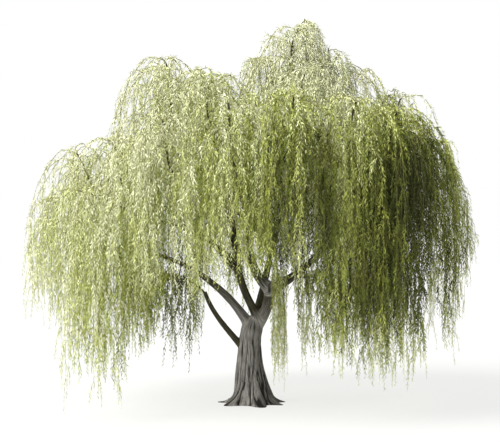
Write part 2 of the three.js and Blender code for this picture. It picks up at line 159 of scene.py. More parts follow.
skyGaps = [  # where the crown is open from below: middle, half width, down to
    (-3.6, 0.18, 2.3),
    (-3.1, 0.35, 1.8),
    (-1.25, 0.35, 3.2),
    (0.3, 0.27, 4.3),
    (1.25, 0.15, 3.4),
    (2.2, 0.2, 2.0),
    (5.43, 0.2, 4.7),
    (6.62, 0.1, 4.6),
]


def chance(a, b, c):  # a repeatable number from 0 to 1
    wave = np.sin(a * 12.9898 + b * 78.233 + c * 37.719 + 4.1) * 43758.5453
    return wave - np.floor(wave)


def polar(angle, reach, height):
    turn = np.radians(angle)
    return np.stack(np.broadcast_arrays(np.cos(turn) * reach, np.sin(turn) * reach, height), -1)


def direction(angle, slope):
    return polar(angle, math.cos(math.radians(slope)), math.sin(math.radians(slope)))


def unit(vectors):
    return vectors / np.maximum(np.linalg.norm(vectors, axis=-1, keepdims=True), 1e-9)


def curvesThrough(controls, steps):  # centripetal curves, one for each row of points
    first = 2 * controls[:, :1] - controls[:, 1:2]
    last = 2 * controls[:, -1:] - controls[:, -2:-1]
    row = np.concatenate([first, controls, last], 1)
    gaps = np.maximum(np.linalg.norm(np.diff(row, axis=1), axis=-1), 1e-6) ** 0.5
    t = np.arange(steps) / steps
    parts = []
    for k in range(controls.shape[1] - 1):
        p = [row[:, k + n] for n in range(4)]
        d = [gaps[:, k + n, None] for n in range(3)]
        leave = ((p[1] - p[0]) / d[0] - (p[2] - p[0]) / (d[0] + d[1]) + (p[2] - p[1]) / d[1]) * d[1]
        arrive = ((p[2] - p[1]) / d[1] - (p[3] - p[1]) / (d[1] + d[2]) + (p[3] - p[2]) / d[2]) * d[1]
        a, b = 2 * p[1] - 2 * p[2] + leave + arrive, 3 * p[2] - 3 * p[1] - 2 * leave - arrive
        s = t[None, :, None]
        parts.append(a[:, None] * s**3 + b[:, None] * s**2 + leave[:, None] * s + p[1][:, None])
    parts.append(controls[:, -1:])
    return np.concatenate(parts, 1)


def evenly(points, count, gather=1):  # the same polyline, with points gathered towards its start
    along = np.concatenate([[0], np.cumsum(np.linalg.norm(np.diff(points, axis=0), axis=1))])
    wanted = along[-1] * np.linspace(0, 1, count) ** gather
    return np.stack([np.interp(wanted, along, points[:, axis]) for axis in range(3)], 1)


class Limb:
    def __init__(self, points, radiusAt):
        self.points = evenly(points, limbForm["steps"] + 1)
        self.radiusAt = radiusAt
        steps = np.diff(self.points, axis=0)
        self.length = np.linalg.norm(steps, axis=1).sum()
        tangents = unit(np.concatenate([steps[:1], (steps[1:] + steps[:-1]) / 2, steps[-1:]]))
        side = unit(np.cross(tangents[0], [0.3, 1.0, 0.2]))
        sides = [side]
        for tangent in tangents[1:]:
            side = unit(side - tangent * side.dot(tangent))
            sides.append(side)
        self.tangents, self.sides = tangents, np.array(sides)
        self.fronts = np.cross(self.tangents, self.sides)

    def at(self, values, share):
        place = np.clip(share, 0, 1) * limbForm["steps"]
        low = np.minimum(np.floor(place).astype(int), limbForm["steps"] - 1)
        part = (place - low)[..., None]
        return values[low] * (1 - part) + values[low + 1] * part

    def pointAt(self, share):
        return self.at(self.points, np.asarray(share))

    def tangentAt(self, share):
        return unit(self.at(self.tangents, np.asarray(share)))


def girthsAlong(chosen, count):  # radii at even steps along each limb
    shares = np.linspace(0, 1, count)
    return np.concatenate([limb.radiusAt(shares, 0 * shares) * np.ones(count) for limb in chosen])


def easeBetween(value, low, high):  # from 0 to 1, level at both ends
    part = np.clip((value - low) / (high - low), 0, 1)
    return part * part * (3 - 2 * part)


def trunkRadiusAt(share, angle):
    form = trunkForm
    height = share * form["height"]
    buttress = 0.5 + 0.5 * np.sin(form["buttresses"] * angle + form["uneven"] * np.sin(2 * angle))
    spread = form["flare"] * np.exp(-((height / form["flareHeight"]) ** form["flarePower"]))
    near, far = form["toeReach"]
    toes = (near + (far - near) * buttress ** form["toePoint"]) * np.exp(-height / form["toeHeight"])
    ribs = form["ribDepth"] * (buttress - 0.5) * np.exp(-height / form["ribHeight"])
    fork = form["forkSwell"] * easeBetween(share, *form["forkSwellOver"])
    top = form["topRounding"] * easeBetween(share, *form["topRoundingOver"])
    return form["radius"] + spread + toes + ribs + fork - top


def taperFrom(thick, thin, swell):
    power, over = limbForm["taperPower"], limbForm["swellOver"]
    taper = lambda share: thick + (thin - thick) * share**power
    return lambda share, angle=0: taper(share) * (1 + swell * np.exp(-share / over))


def taperPast(thick, thin, end):  # reaches its thin radius at the share end, and thins on
    power, ease = limbForm["taperPower"], limbForm["stemEase"]
    past = lambda share: np.clip((share - end) / (1 - end), 0, 1)
    return lambda share, angle=0: thick + (thin - thick) * (share / end) ** power * (1 - ease * past(share))


def bend(root, heading, tip, arrival):
    pull = limbForm["pull"] * np.linalg.norm(tip - root)
    hull = [root, root + heading * pull, tip - arrival * pull, tip]
    t = np.linspace(0, 1, 160)[:, None]
    weights = [(1 - t) ** 3, 3 * t * (1 - t) ** 2, 3 * t * t * (1 - t), t**3]
    return sum(weight * point for weight, point in zip(weights, hull))


def growLimbs():
    h, bow = trunkForm["height"], trunkForm["bow"]
    controls = [[0, 0, 0], [0, 0, h * 0.1], [-bow, 0, h * 0.4], [-bow, 0, h * 0.75], [0.06, 0, h]]
    made = {"trunk": Limb(curvesThrough(np.array([controls]), 40)[0], trunkRadiusAt)}
    for name, (parent, share, heading, tip, arrival, radii) in carriers.items():
        root = made[parent].pointAt(share)
        path = bend(root, direction(*heading), np.array(tip), direction(*arrival))
        made[name] = Limb(path, taperFrom(*radii, limbForm["swell"]))
    return made


def settleMasses():
    made = []
    for tier, group in ((upperTier, upperMasses), (ringTier, ringMasses), (lowTier, lowMasses)):
        for name, own in group.items():
            mass = {"name": name, **anyTier, **tier, **own}
            if tier is ringTier and "top" not in own:
                turn = math.radians(mass["angle"])
                mass["top"] = ringTop + ringLift * math.cos(turn) + ringFullness * math.sin(turn) ** 2
            mass["seed"] = polar(mass["angle"], mass["reach"], 0)
            mass["crest"] = polar(mass["angle"], mass["reach"] * mass["crestShare"], mass["top"])
            mass["bough"] = growMassBough(mass)
            made.append(mass)
    return made


def growMassBough(mass):
    if mass["from"] is None:
        return limbs["bough_" + mass["name"]]
    carrierName, share = mass["from"]
    carrier = limbs[carrierName]
    root = carrier.pointAt(share)
    tip = polar(mass["angle"], mass["reach"] * 0.82, mass["top"] - mass["entryBelow"])
    heading = unit(carrier.tangentAt(share) * 0.55 + unit(tip - root))
    thick = min(mass["boughRadius"], carrier.radiusAt(share) * 0.85)
    path = bend(root, heading, tip, direction(mass["angle"], mass["arrivalSlope"]))
    bough = Limb(path, taperFrom(thick, thick * limbForm["tipShare"], limbForm["massSwell"]))
    limbs["bough_to_" + mass["name"]] = bough
    return bough


batch = 8000  # places worked on at a time
stemSteps = 20

limbs = growLimbs()
masses = settleMasses()
seeds = np.array([mass["seed"][:2] for mass in masses])
print("limbs grown:", len(limbs), "masses:", len(masses))

# Bark

barkForm = {
    "sides": 96,  # of the trunk's tube, before it is blended with the boughs
    "steps": 90,
    "boughSides": 28,
    "boughSteps": 60,
    "massSides": 10,
    "massSteps": 44,
    "voxel": 0.0165,
    "triangles": 190000,
    "flutes": 17,  # long ridges round the trunk
    "boughFlutes": 11,
    "smoothing": 0.6,
    "blend": 14,  # rounds of it all over
    "forkBlend": 150,  # and round the forks
    "forks": (((0, 0, 2.75), 0.85), ((0.5, 0, 3.65), 0.42)),  # their middles and reach
    "furrowDepth": 0.042,
    "boughDepth": 0.4,  # as a share of the trunk's
    "seam": 0.1,  # where two limbs meet, the furrows fade over this
    "paintedShadeToRight": 0.6,  # how much darker the trunk is to the right, painted shade on the side away from the key light
    "footDepth": 1.1,  # how much deeper its furrows are at the foot
    "footHeight": 0.4,
    "swell": 0.014,  # broad unevenness
    "greyFor": {"bough_left_arch": 1.8, "bough_leader": 1.3},  # how far the trunk's grey reaches up them
    "elseGreyFor": 0.4,
}


def addTube(work, limb, sides, steps):
    before = len(work.verts)
    cone = bmesh.ops.create_cone(work, cap_ends=True, segments=sides, radius1=1, radius2=1, depth=1)
    ring = {edge for vert in cone["verts"] for edge in vert.link_edges}
    upright = [edge for edge in ring if abs(edge.verts[0].co.z - edge.verts[1].co.z) > 0.5]
    bmesh.ops.subdivide_edges(work, edges=upright, cuts=steps - 1, use_grid_fill=True)
    work.verts.ensure_lookup_table()
    verts = work.verts[before:]
    flat = np.array([vert.co for vert in verts])
    share, angle = flat[:, 2] + 0.5, np.arctan2(flat[:, 1], flat[:, 0])
    radius = limb.radiusAt(share, angle)[:, None]
    place = limb.pointAt(share)
    place += limb.at(limb.sides, share) * np.cos(angle)[:, None] * radius
    place += limb.at(limb.fronts, share) * np.sin(angle)[:, None] * radius
    for vert, where in zip(verts, place):
        vert.co = where


def meshFrom(work, name):
    mesh = bpy.data.meshes.new(name)
    work.to_mesh(mesh)
    work.free()
    piece = bpy.data.objects.new(name, mesh)
    bpy.context.collection.objects.link(piece)
    return piece


def reshaped(piece, kind, **settings):  # the piece with one modifier applied
    change = piece.modifiers.new(kind.lower(), kind)
    for key, value in settings.items():
        setattr(change, key, value)
    whole = piece.evaluated_get(bpy.context.evaluated_depsgraph_get())
    mesh = bpy.data.meshes.new_from_object(whole)
    piece.modifiers.clear()
    piece.data = mesh


def readVectors(values, key, count):
    flat = np.empty(count * 3, np.float32)
    values.foreach_get(key, flat)
    return flat.reshape(-1, 3).astype(float)


def grooveAt(x, y, z, n, flutes):  # the furrows' depth at a place round and along the limb n
    angle = math.atan2(y, x)
    sway = noise.noise(Vector((x * 1.3, y * 1.3, z * 0.8 + n * 7.3)))
    twist = noise.noise(Vector((x * 3.1, y * 3.1, z * 1.7 + n * 3.1)))
    phase = flutes * angle + 5.5 * sway + 3.2 * twist
    ridge = abs(math.sin(phase / 2 + 1.5 * noise.noise(Vector((x * 5, y * 5, z * 0.9)))))
    fine = abs(noise.noise(Vector((x * 15, y * 15, z * 2.2 + n))))
    patch = 0.75 + 0.5 * noise.noise(Vector((x * 2.2, y * 2.2, z * 2.6 + n)))
    return (1 - min(1, ridge * 1.35)) ** 1.2 * patch + 0.5 * max(0, 0.5 - 3.2 * fine)


def carveBark(piece, names):
    mesh = piece.data
    steps = limbForm["steps"]
    perLimb = steps + 1
    count = len(mesh.vertices)
    places = readVectors(mesh.vertices, "co", count)
    normals = readVectors(mesh.vertex_normals, "vector", count)
    centres = np.concatenate([limbs[name].points for name in names])
    girths = girthsAlong([limbs[name] for name in names], perLimb)
    nearest = np.empty(count, int)
    fade = np.empty(count)
    for start in range(0, count, batch):
        part = places[start:start + batch]
        gap = np.linalg.norm(part[:, None] - centres[None], axis=2) - girths[None]
        nearest[start:start + batch] = gap.argmin(1)
        ranked = np.sort(gap.reshape(len(part), len(names), perLimb).min(2), axis=1)
        fade[start:start + batch] = np.clip((ranked[:, 1] - ranked[:, 0]) / barkForm["seam"], 0.1, 1)
    paintedBarkShade = np.empty(count)
    young = np.zeros(count)
    shift = np.empty(count)
    grain = np.empty((count, 3))
    for n, name in enumerate(names):
        limb = limbs[name]
        chosen = np.nonzero(nearest // perLimb == n)[0]
        k = nearest[chosen] % perLimb
        offset = places[chosen] - limb.points[k]
        across = unit(np.stack([(offset * limb.sides[k]).sum(1), (offset * limb.fronts[k]).sum(1)], 1))
        along = k / steps * limb.length + (offset * limb.tangents[k]).sum(1)
        isTrunk = name == "trunk"
        girth = float(limb.radiusAt(0.5, 0.0))
        scale = 1 if isTrunk else barkForm["boughDepth"] * min(1, girth / 0.1)
        flutes = barkForm["flutes"] if isTrunk else barkForm["boughFlutes"]
        grain[chosen] = np.concatenate([across * girth, along[:, None] + 7.3 * n], 1)
        if name.startswith("whole_"):
            young[chosen] = 1
        elif not isTrunk:
            greyFor = barkForm["greyFor"].get(name, barkForm["elseGreyFor"])
            young[chosen] = np.clip(along / greyFor - 0.1, 0, 1)
        # painted shade: the trunk's right side, away from the key light, is darkened in the bark's colour
        dark = barkForm["paintedShadeToRight"] * isTrunk * np.clip(offset[:, 0] / girth - 0.1, 0, 1)
        foot = 1 + isTrunk * barkForm["footDepth"] * np.exp(-along / barkForm["footHeight"])
        for index, (x, y), z, paintedSideShade, deeper in zip(chosen, across, along, dark, foot):
            groove = grooveAt(x, y, z, n, flutes) * (fade[index] * deeper)
            broad = noise.noise(Vector((x * 0.9, y * 0.9, z * 1.4 + n)))
            # painted shade in the grooves, with the painted shade of the trunk's right side added
            paintedBarkShade[index] = min(1, 1.25 * groove + paintedSideShade)
            bulge = barkForm["swell"] * broad * scale
            shift[index] = bulge + barkForm["furrowDepth"] * scale * (0.3 - groove)
    ends = np.abs(normals[:, 2]) > 0.95
    shift[ends & (places[:, 2] < 0.05)] = 0
    shift *= np.clip(places[:, 2] / 0.1, 0.15, 1)
    places += normals * shift[:, None]
    places[:, 2] = np.where(places[:, 2] < 0.012, 0, places[:, 2])
    mesh.vertices.foreach_set("co", places.astype(np.float32).ravel())
    depth = mesh.attributes.new("paintedBarkShade", "FLOAT", "POINT")
    depth.data.foreach_set("value", paintedBarkShade.astype(np.float32))
    lines = mesh.attributes.new("grain", "FLOAT_VECTOR", "POINT")
    lines.data.foreach_set("vector", grain.astype(np.float32).ravel())
    upper = mesh.attributes.new("young", "FLOAT", "POINT")
    upper.data.foreach_set("value", young.astype(np.float32))
    mesh.update()
    mesh.shade_smooth()


def makeTrunkBark():
    names = ["trunk", *carriers]
    work = bmesh.new()
    form = barkForm
    for name in names:
        if name == "trunk":
            addTube(work, limbs[name], form["sides"], form["steps"])
        else:
            addTube(work, limbs[name], form["boughSides"], form["boughSteps"])
    piece = meshFrom(work, "trunkAndBoughs")
    reshaped(piece, "REMESH", mode="VOXEL", voxel_size=form["voxel"], adaptivity=0)
    reshaped(piece, "SMOOTH", factor=form["smoothing"], iterations=form["blend"])
    markFork(piece)
    reshaped(piece, "SMOOTH", factor=form["smoothing"], iterations=form["forkBlend"], vertex_group="fork")
    carveBark(piece, names)
    triangles = 2 * len(piece.data.polygons)
    reshaped(piece, "DECIMATE", ratio=min(1, form["triangles"] / triangles))
    return piece


def markFork(piece):
    places = readVectors(piece.data.vertices, "co", len(piece.data.vertices))
    far = [np.linalg.norm(places - middle, axis=1) / reach for middle, reach in barkForm["forks"]]
    far = np.min(far, axis=0)
    group = piece.vertex_groups.new(name="fork")
    for weight in (0.25, 0.5, 0.75, 1.0):
        within = np.nonzero(far < 1.25 - weight)[0]
        group.add(within.tolist(), weight, "REPLACE")


def makeBoughBark():
    work = bmesh.new()
    names = []
    for mass in masses:
        bough = mass["bough"]
        stem = stemOf(mass)
        if mass["from"] is None:
            whole = Limb(stem, taperFrom(bough.radiusAt(1), bough.radiusAt(1) * 0.5, 0))
        else:
            points = np.concatenate([bough.points, stem[1:]])
            share = bough.length / (bough.length + np.linalg.norm(np.diff(stem, axis=0), axis=1).sum())
            whole = Limb(points, taperPast(bough.radiusAt(0), bough.radiusAt(1), share))
        limbs["whole_" + mass["name"]] = whole
        names.append("whole_" + mass["name"])
        addTube(work, whole, barkForm["massSides"], barkForm["massSteps"])
    piece = meshFrom(work, "massBoughs")
    carveBark(piece, names)
    return piece


def stemOf(mass):
    bough = mass["bough"]
    stemTop = mass["crest"] - [0, 0, limbForm["stemBelow"]]
    path = bend(bough.pointAt(1), bough.tangentAt(1), stemTop, direction(mass["angle"], 55))
    return evenly(path, stemSteps + 1)


# Whips, each with its sprays of leaves

whipForm = {
    "turn": 137.508,  # degrees from one whip of a mass to the next
    "turnPlay": 40,
    "thick": 0.0115,
    "thin": 0.003,
    "fallPower": 1.6,
    "peakAt": 0.33,
    "belowTop": 0.07,  # from a mass's top to its dome
    "dip": 0.45,  # how far a whip's arch may lie below the dome
    "layers": 3.2,  # how far below the dome the lowest whips of a mass arch
    "inward": 1.1,  # from a later whip's foot to where it leaves an earlier one
    "endsAbove": 0.55,
    "points": 17,
    "gather": 1.3,  # how much closer its points lie where it arches
    "shortest": 0.7,
    "step": 0.1,  # between the places tried down a whip's hanging part
    "tries": 90,
    "hangClear": 0.05,  # from there to the nearest limb
    "archClear": 0.02,
}

sprayForm = {
    "gap": 0.38,  # from one to the next along a whip
    "length": (0.55, 1.55),
    "lean": (0.34, 1.25),  # where the whip hangs and where it arches over
    "lift": (0.12, 0.5),  # there too
    "turn": 2.4,  # radians from one to the next
    "along": 0.6,  # how much a spray follows its whip
    "begins": 0.06,  # the share of a whip before its first spray
    "shorter": 0.45,  # how much shorter they get down a whip
    "arch": 0.48,  # how much less a spray goes forward towards its end
    "fall": (0.7, 0.1),  # late and early along it
    "thick": 0.0042,
    "thin": 0.002,
    "within": (7.2, 6.45),  # half the width and depth they keep to
    "lowest": 0.2,
    "clear": 0.03,  # of the limbs
}

leafForm = {
    "length": 0.15,
    "width": 0.0255,
    "shadeWidth": 0.5,  # how much wider the leaves of the darkest sprays are
    "gap": 0.047,  # from one to the next along a spray
    "whipGap": 1.5,  # along a whip, as a share of that
    "sprayBegins": 0.04,  # the share of a spray before its first leaf
    "whipBegins": 0.06,
    "turn": 2.4,  # radians from one to the next
    "open": 38,  # degrees from the spray
    "droop": 0.16,
    "bend": 0.16,  # the most, as a share of its length
    "widestAt": 0.38,
    "shorter": 0.4,  # how much shorter they get along a spray
    "tintPlay": 0.06,  # how far single leaves leave their spray's place among the tints
}


def ownsAll(mass, points, margin):  # which points lie in the mass's own space
    level = points[..., 2]
    inside = (level < mass["top"] + 0.2) & (level > mass["hang"] - 0.1)
    oval = np.hypot(points[..., 0] / crown["halfWidth"], points[..., 1] / crown["halfDepth"])
    inside &= oval < 1
    own = ((points[..., :2] - mass["seed"][:2]) ** 2).sum(-1)
    for other, seed in zip(masses, seeds):
        if other is mass:
            continue
        near = (level < other["top"]) & (level > other["hang"])
        far = ((points[..., :2] - seed) ** 2).sum(-1)
        apart = (far - own) / (2 * np.linalg.norm(mass["seed"][:2] - seed))
        inside &= ~near | (apart > margin)
    return inside


def clearOfLimbs(points, gap):
    spots = np.concatenate([limb.points[::2] for limb in limbs.values()])
    girths = girthsAlong(limbs.values(), limbForm["steps"] // 2 + 1)
    flat = points.reshape(-1, 3)
    clear = np.empty(len(flat), bool)
    for start in range(0, len(flat), batch):
        part = flat[start:start + batch]
        squares = ((part[:, None] - spots[None]) ** 2).sum(2)
        clear[start:start + batch] = (squares > (girths + gap)[None] ** 2).all(1)
    return clear.reshape(points.shape[:-1])


def edgeDistance(mass, angles):  # from the crest to the edge of the mass's own space
    level = min(mass["top"] - 1.0, 7.5)
    out = np.arange(0, mass["spread"] + 0.05, 0.05)
    points = mass["crest"][None, None] + polar(angles[:, None], out[None], 0)
    points[..., 2] = level
    inside = ownsAll(mass, points, -crown["overlap"])
    inside[:, 0] = True
    reach = np.where(inside.all(1), len(out), inside.argmin(1))
    return out[np.minimum(reach, len(out) - 1)]


def whipsOf(mass, massIndex):
    form = whipForm
    i = np.arange(mass["arches"])
    play = lambda c: chance(massIndex, i, c)
    angle = mass["angle"] + i * form["turn"] + form["turnPlay"] * (play(1) - 0.5)
    inner = i % 3 == 1
    spread = np.where(inner, 0.5 + 0.2 * play(2), 0.9 + 0.07 * play(2))
    mains = 2 * mass["whips"]
    spread = np.where(i < mains, spread, 0.99 * (1 - 0.72 * play(2) ** 2))
    out = edgeDistance(mass, angle) * spread
    foot = mass["crest"] + polar(angle, out, 0)
    skirt = (np.abs(foot[:, 0]) - crown["skirtTurn"]) * crown["skirtRise"]
    lowest = np.maximum(mass["hang"], skirt)
    ragged = np.where(i < mass["whips"], 0.15 * play(3), mass["ragged"] * play(3) ** 1.2)
    lowest = openedAt(foot, lowest + form["endsAbove"]) + (mass["top"] - mass["hang"]) * ragged
    dome = mass["top"] - form["belowTop"] - mass["fall"] * out ** form["fallPower"]
    layer = np.where(i < mass["whips"], 0, form["layers"] * play(5) ** 1.5)
    layer *= min(1, (mass["top"] - mass["hang"]) / 6)
    layer = np.minimum(layer, np.maximum(dome - lowest - 1.5 * form["shortest"], 0))
    domeAt = lambda s: mass["top"] - form["belowTop"] - mass["fall"] * s ** form["fallPower"] - layer
    shoulder = domeAt(out)
    dip = np.where(i < 1, 0, form["dip"] * play(4))
    peakFrom = lambda start: domeAt(np.linalg.norm(
        (start + (foot - start) * form["peakAt"] - mass["crest"])[:, :2], axis=1)) - dip
    tries, step = form["tries"], form["step"]
    column = np.repeat(foot[:, None], tries, 1)
    column[..., 2] = shoulder[:, None] - (np.arange(0, tries) * step)[None]
    free = ownsAll(mass, column, -crown["overlap"]) & clearOfLimbs(column, form["hangClear"])
    free &= column[..., 2] > lowest[:, None]
    free[:, 0] = True
    hang = np.where(free.all(1), tries, free.argmin(1)) * step
    stem = stemOf(mass)
    share = np.where(i < mass["whips"], 1 - (i * 2 % 4) / 4, 0.35 + 0.65 * play(6))
    share = np.clip(share - layer / 6, 0.05, 1)
    start = stem[np.round(share * stemSteps).astype(int)]
    paths = archedPaths(start, foot, peakFrom(start), shoulder, spread, hang)
    forks = paths[:mains, 4:20].reshape(-1, 3)
    inward = np.minimum(form["inward"] * (0.4 + play(7)), out * 0.8)
    wanted = foot * (1 - inward / np.hypot(foot[:, 0], foot[:, 1]))[:, None]
    wanted[:, 2] = shoulder + 0.35
    fork = forks[np.linalg.norm(forks[None] - wanted[:, None], axis=2).argmin(1)]
    start = np.where(((i < mains) | (i % 4 == 0))[:, None], start, fork)
    paths = archedPaths(start, foot, peakFrom(start), shoulder, spread, hang)
    keep = (hang > form["shortest"]) & clearOfLimbs(paths[:, 12:], form["archClear"]).all(1)
    return paths[keep]


def openedAt(places, lowest):  # the same heights, raised where the crown is open to the sky
    for middle, half, level in skyGaps:
        lowest = np.where(np.abs(places[..., 0] - middle) < half, np.maximum(lowest, level), lowest)
    return lowest


def archedPaths(start, foot, peak, shoulder, spread, hang):
    over = lambda along, height: np.concatenate(
        [(start + (foot - start) * along)[:, :2], height[:, None]], 1)
    peak = np.maximum(peak, start[:, 2] + 0.1)
    controls = np.stack([
        start,
        over(0.4 * whipForm["peakAt"], start[:, 2] * 0.36 + peak * 0.64),
        over(whipForm["peakAt"], peak),
        over(0.84, shoulder + 0.24 * spread),
        over(1, shoulder - 0.2 * hang),
        over(1, shoulder - hang),
    ], 1)
    return curvesThrough(controls, 8)


def spraysOn(whips, crowds, random):
    bases, headings, lengths, owners = [], [], [], []
    form = sprayForm
    low, high = form["length"]
    hanging, arching = form["lean"]
    least, most = form["lift"]
    for index, (path, crowd) in enumerate(zip(whips, crowds)):
        whole = np.linalg.norm(np.diff(path, axis=0), axis=1).sum()
        count = int(whole / form["gap"])
        spaced = (np.arange(count) + random.uniform(0, 0.7, count)) / count
        share = form["begins"] + 0.93 * spaced**crowd
        place = share * (len(path) - 1)
        k = np.minimum(place.astype(int), len(path) - 2)
        part = (place - k)[:, None]
        tangent = unit(path[k + 1] - path[k])
        level = 1 - np.abs(tangent[:, 2:])
        turn = random.uniform(0, 2 * math.pi) + np.arange(count) * form["turn"]
        side = np.stack([np.cos(turn), np.sin(turn), 0 * turn], 1)
        bases.append(path[k] * (1 - part) + path[k + 1] * part)
        lift = (least + (most - least) * level) * [0, 0, 1]
        sideways = side * (hanging + (arching - hanging) * level)
        headings.append(unit(tangent * form["along"] + sideways + lift))
        lengths.append(random.uniform(low, high, count) * (1.1 - form["shorter"] * share))
        owners.append(np.full(count, index))
    return [np.concatenate(values) for values in (bases, headings, lengths, owners)]


def sprayPaths(bases, headings, lengths):
    s = np.linspace(0, 1, 4)[None, :, None]
    length = lengths[:, None, None]
    late, early = sprayForm["fall"]
    forward = headings[:, None] * (s - sprayForm["arch"] * s * s) * length * 0.8
    down = np.array([0, 0, -1.0]) * (late * s * s + early * s) * length
    return bases[:, None] + forward + down


def twigTubes(paths, thick, thin):
    count, rings = paths.shape[:2]
    tangents = unit(np.gradient(paths, axis=1))
    heading = paths[:, -1] - paths[:, 0] + [0.01, 0.003, 0]
    side = unit(np.stack([-heading[:, 1], heading[:, 0], 0 * heading[:, 0]], 1))[:, None]
    side = np.repeat(side, rings, 1)
    front = np.cross(tangents, side)
    radius = (thick + (thin - thick) * np.linspace(0, 1, rings))[None, :, None]
    angles = np.arange(3) * 2 * math.pi / 3
    corners = [paths + (side * math.cos(angle) + front * math.sin(angle)) * radius for angle in angles]
    verts = np.stack(corners, 2).reshape(-1, 3)
    first = (np.arange(count) * rings * 3)[:, None, None]
    ring = (np.arange(rings - 1) * 3)[None, :, None]
    now = np.arange(3)[None, None]
    after = (now + 1) % 3
    sides = np.broadcast_arrays(first + ring + now, first + ring + after,
                                first + ring + 3 + after, first + ring + 3 + now)
    quads = np.stack(sides, -1).reshape(-1, 4)
    base = np.arange(count)[:, None] * rings * 3
    roots = base + [[0, 2, 1]]
    tips = base + (rings - 1) * 3 + [[0, 1, 2]]
    return verts, quads, np.concatenate([roots, tips])


def joinedMesh(name, verts, quads, tris):
    mesh = bpy.data.meshes.new(name)
    mesh.vertices.add(len(verts))
    mesh.vertices.foreach_set("co", verts.astype(np.float32).ravel())
    corners = np.concatenate([quads.ravel(), tris.ravel()]).astype(np.int32)
    sizes = np.concatenate([np.full(len(quads), 4), np.full(len(tris), 3)])
    starts = np.concatenate([[0], np.cumsum(sizes)[:-1]]).astype(np.int32)
    mesh.loops.add(len(corners))
    mesh.loops.foreach_set("vertex_index", corners)
    mesh.polygons.add(len(sizes))
    mesh.polygons.foreach_set("loop_start", starts)
    mesh.update(calc_edges=True)
    piece = bpy.data.objects.new(name, mesh)
    bpy.context.collection.objects.link(piece)
    return piece


def leavesOn(paths, begin, gap, random):
    steps = np.linalg.norm(np.diff(paths, axis=1), axis=2).sum(1)
    counts = np.maximum((steps * (1 - begin) / gap).astype(int), 3)
    owner = np.repeat(np.arange(len(paths)), counts)
    order = np.arange(counts.sum()) - np.repeat(np.cumsum(counts) - counts, counts)
    share = begin + (1 - begin) * (order + random.uniform(0.1, 0.9, len(order))) / counts[owner]
    place = share * (paths.shape[1] - 1)
    k = np.minimum(place.astype(int), paths.shape[1] - 2)
    part = (place - k)[:, None]
    base = paths[owner, k] * (1 - part) + paths[owner, k + 1] * part
    tangent = unit(paths[owner, k + 1] - paths[owner, k])
    return owner, share, base, tangent, order


def leafMesh(leaves, rank, random):
    owner, share, base, tangent, order = leaves
    form = leafForm
    n = len(owner)
    turn = order * form["turn"] + owner * 1.7 + random.uniform(-0.5, 0.5, n)
    side = unit(np.cross(tangent, [0.31, 0.87, 0.39]))
    front = np.cross(tangent, side)
    radial = side * np.cos(turn)[:, None] + front * np.sin(turn)[:, None]
    opening = np.radians(form["open"] * random.uniform(0.6, 1.35, n))[:, None]
    axis = unit(tangent * np.cos(opening) + radial * np.sin(opening) + [0, 0, -form["droop"]])
    roll = random.uniform(-1.0, 1.0, n)[:, None]
    flat = unit(np.cross(axis, radial))
    face = np.cross(flat, axis)
    wide = flat * np.cos(roll) + face * np.sin(roll)
    face = np.cross(wide, axis)
    length = (form["length"] * random.uniform(0.7, 1.25, n) * (1.08 - form["shorter"] * share))[:, None]
    width = length * form["width"] / form["length"] * (1 + form["shadeWidth"] * rank[:, None])
    bent = random.uniform(0.0, form["bend"], n)[:, None] * length
    widest = form["widestAt"]
    at = lambda s, w, fall: base + axis * length * s + wide * width * w - face * bent * fall
    corners = [at(0, 0, 1), at(widest, 0.5, 0), at(1, 0, 1), at(widest, -0.5, 0)]
    return np.stack(corners, 1)


def leafPiece(name, corners):  # two faces a leaf, folded along its middle
    first = np.arange(len(corners))[:, None] * 4
    tris = np.concatenate([first + [[0, 1, 2]], first + [[0, 2, 3]]])
    return joinedMesh(name, corners.reshape(-1, 3), np.empty((0, 4), int), tris)


def growFoliage():
    random = np.random.default_rng(7)
    grown = [(path, mass["crowd"]) for index, mass in enumerate(masses) for path in whipsOf(mass, index)]
    whips = np.stack([evenly(path, whipForm["points"], whipForm["gather"]) for path, _ in grown])
    print("whips:", len(whips))
    bases, headings, lengths, owners = spraysOn(whips, [crowd for _, crowd in grown], random)
    sprays = sprayPaths(bases, headings, lengths)
    wide, deep = sprayForm["within"]
    oval = np.hypot(sprays[..., 0] / wide, sprays[..., 1] / deep).max(1)
    ends = sprays[:, -1]
    keep = (oval < 1) & (ends[:, 2] > sprayForm["lowest"])
    keep &= clearOfLimbs(sprays[:, 1:], sprayForm["clear"]).all(1)
    keep &= ends[:, 2] >= openedAt(ends, 0)
    print("sprays:", keep.sum())
    return whips, sprays[keep], owners[keep], random


lightForm = {  # what makes a spray bright: painted light and shade, with some random play
    "sun": (-0.55, -0.22, 0.8),
    "facing": 0.75,  # towards the sun
    "middle": (0, 0, 5.0),
    "halfSize": (7.0, 6.3, 7.0),
    "reach": 0.35,  # from the middle outwards: partly the paler outer leaves, partly painted shade inside the crown
    "strands": 0.42,  # its strand
    "chance": 0.22,
    "lowest": 2.6,  # how far up the brighter low ends reach: painted light through the thin hanging ends and the far side
    "paintedLowLight": (0.3, 1.1, 0.6),  # everywhere, and more to the right and the back
    "paintedRimLight": 0.3,  # painted rim light at the far right, from this share of the half width
    "paintedRimFrom": 0.76,
    "paintedRimOver": 0.15,
    "clumps": 1.1,  # waves a metre of the light and dark bunches of strands
    "clumpDepth": 0.6,
    "strandPlay": 0.35,
}
shade = {"x": 4.7, "halfWidth": 1.1, "z": 7.2, "halfHeight": 1.5, "depth": 0.5}  # under the right shoulder


